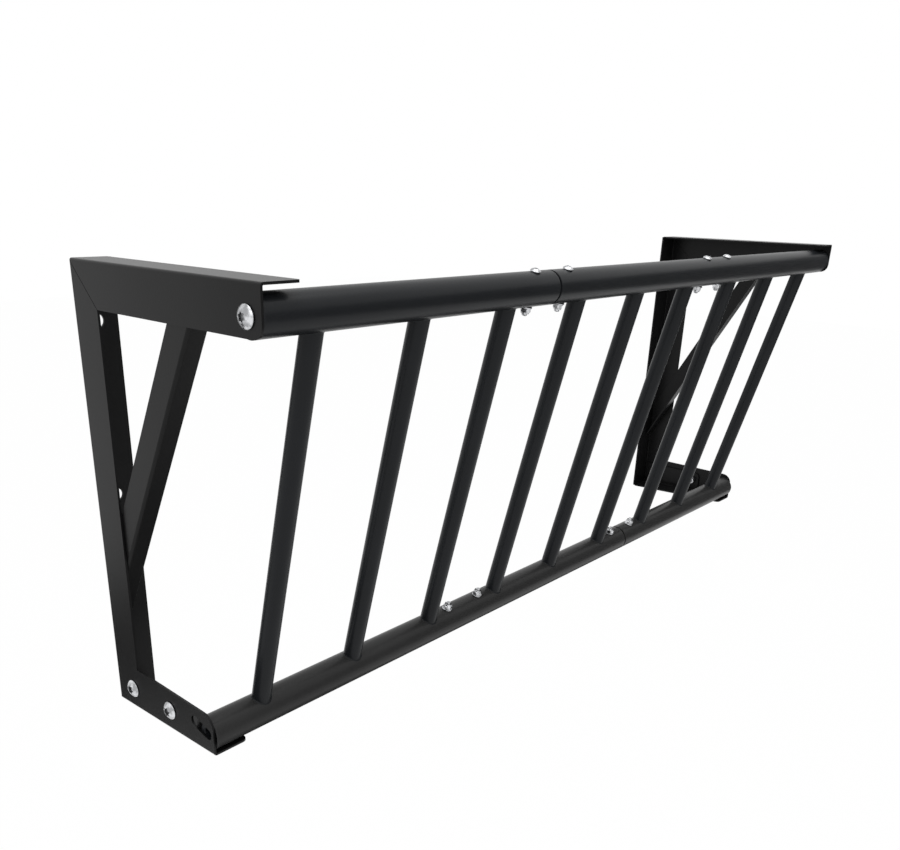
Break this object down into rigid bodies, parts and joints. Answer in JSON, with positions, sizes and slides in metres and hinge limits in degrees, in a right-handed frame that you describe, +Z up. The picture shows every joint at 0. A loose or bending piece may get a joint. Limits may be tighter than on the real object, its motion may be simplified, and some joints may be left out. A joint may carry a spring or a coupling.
{
  "type": "wall-mounted hay feeder",
  "caption": "Sloping barred grille of round steel tube carried by two bent-steel wall brackets with braces; it tilts a little on its top bolts.",
  "frame": {"origin": "on the wall plane, half way along the feeder, level with the brackets' lowest edge", "axes": "+X along the wall, to the right as seen from the front; +Y into the wall, so the front is -Y; +Z up"},
  "size_m": [1.5132, 0.362, 0.6],
  "materials": {
    "black_powder_coat": "satin",
    "bright_zinc": "bright zinc plating"
  },
  "bodies": {
    "brackets": {"left_post": "black_powder_coat", "left_top_arm": "black_powder_coat", "left_low_arm": "black_powder_coat", "left_brace": "black_powder_coat", "left_foot_plate": "black_powder_coat", "left_foot_1_bolt": "bright_zinc", "left_foot_1_nut": "bright_zinc", "left_foot_2_bolt": "bright_zinc", "left_foot_2_nut": "bright_zinc", "right_post": "black_powder_coat", "right_top_arm": "black_powder_coat", "right_low_arm": "black_powder_coat", "right_brace": "black_powder_coat", "right_foot_plate": "black_powder_coat", "right_foot_1_bolt": "bright_zinc", "right_foot_1_nut": "bright_zinc", "right_foot_2_bolt": "bright_zinc", "right_foot_2_nut": "bright_zinc"},
    "grille": {"top_rail_1": "black_powder_coat", "top_rail_2": "black_powder_coat", "top_rail_3": "black_powder_coat", "top_sleeve_1": "black_powder_coat", "top_sleeve_2": "black_powder_coat", "top_rail_left_plug": "black_powder_coat", "top_rail_right_plug": "black_powder_coat", "low_rail_1": "black_powder_coat", "low_rail_2": "black_powder_coat", "low_rail_3": "black_powder_coat", "low_sleeve_1": "black_powder_coat", "low_sleeve_2": "black_powder_coat", "low_rail_left_plug": "black_powder_coat", "low_rail_right_plug": "black_powder_coat", "bar_1": "black_powder_coat", "bar_2": "black_powder_coat", "bar_3": "black_powder_coat", "bar_4": "black_powder_coat", "bar_5": "black_powder_coat", "bar_6": "black_powder_coat", "bar_7": "black_powder_coat", "bar_8": "black_powder_coat", "bar_9": "black_powder_coat", "top_splice_1_bolt": "bright_zinc", "top_splice_1_nut": "bright_zinc", "top_splice_2_bolt": "bright_zinc", "top_splice_2_nut": "bright_zinc", "top_splice_3_bolt": "bright_zinc", "top_splice_3_nut": "bright_zinc", "top_splice_4_bolt": "bright_zinc", "top_splice_4_nut": "bright_zinc", "low_splice_1_bolt": "bright_zinc", "low_splice_1_nut": "bright_zinc", "low_splice_2_bolt": "bright_zinc", "low_splice_2_nut": "bright_zinc", "low_splice_3_bolt": "bright_zinc", "low_splice_3_nut": "bright_zinc", "low_splice_4_bolt": "bright_zinc", "low_splice_4_nut": "bright_zinc", "left_pivot_bolt": "bright_zinc", "right_pivot_bolt": "bright_zinc"}
  },
  "joints": [
    {"name": "grille_tilt", "type": "hinge", "parent": "brackets", "child": "grille", "pos_m": [0, -0.339, 0.5663], "axis": [1, 0, 0], "range_deg": [0, 2.5]}
  ]
}
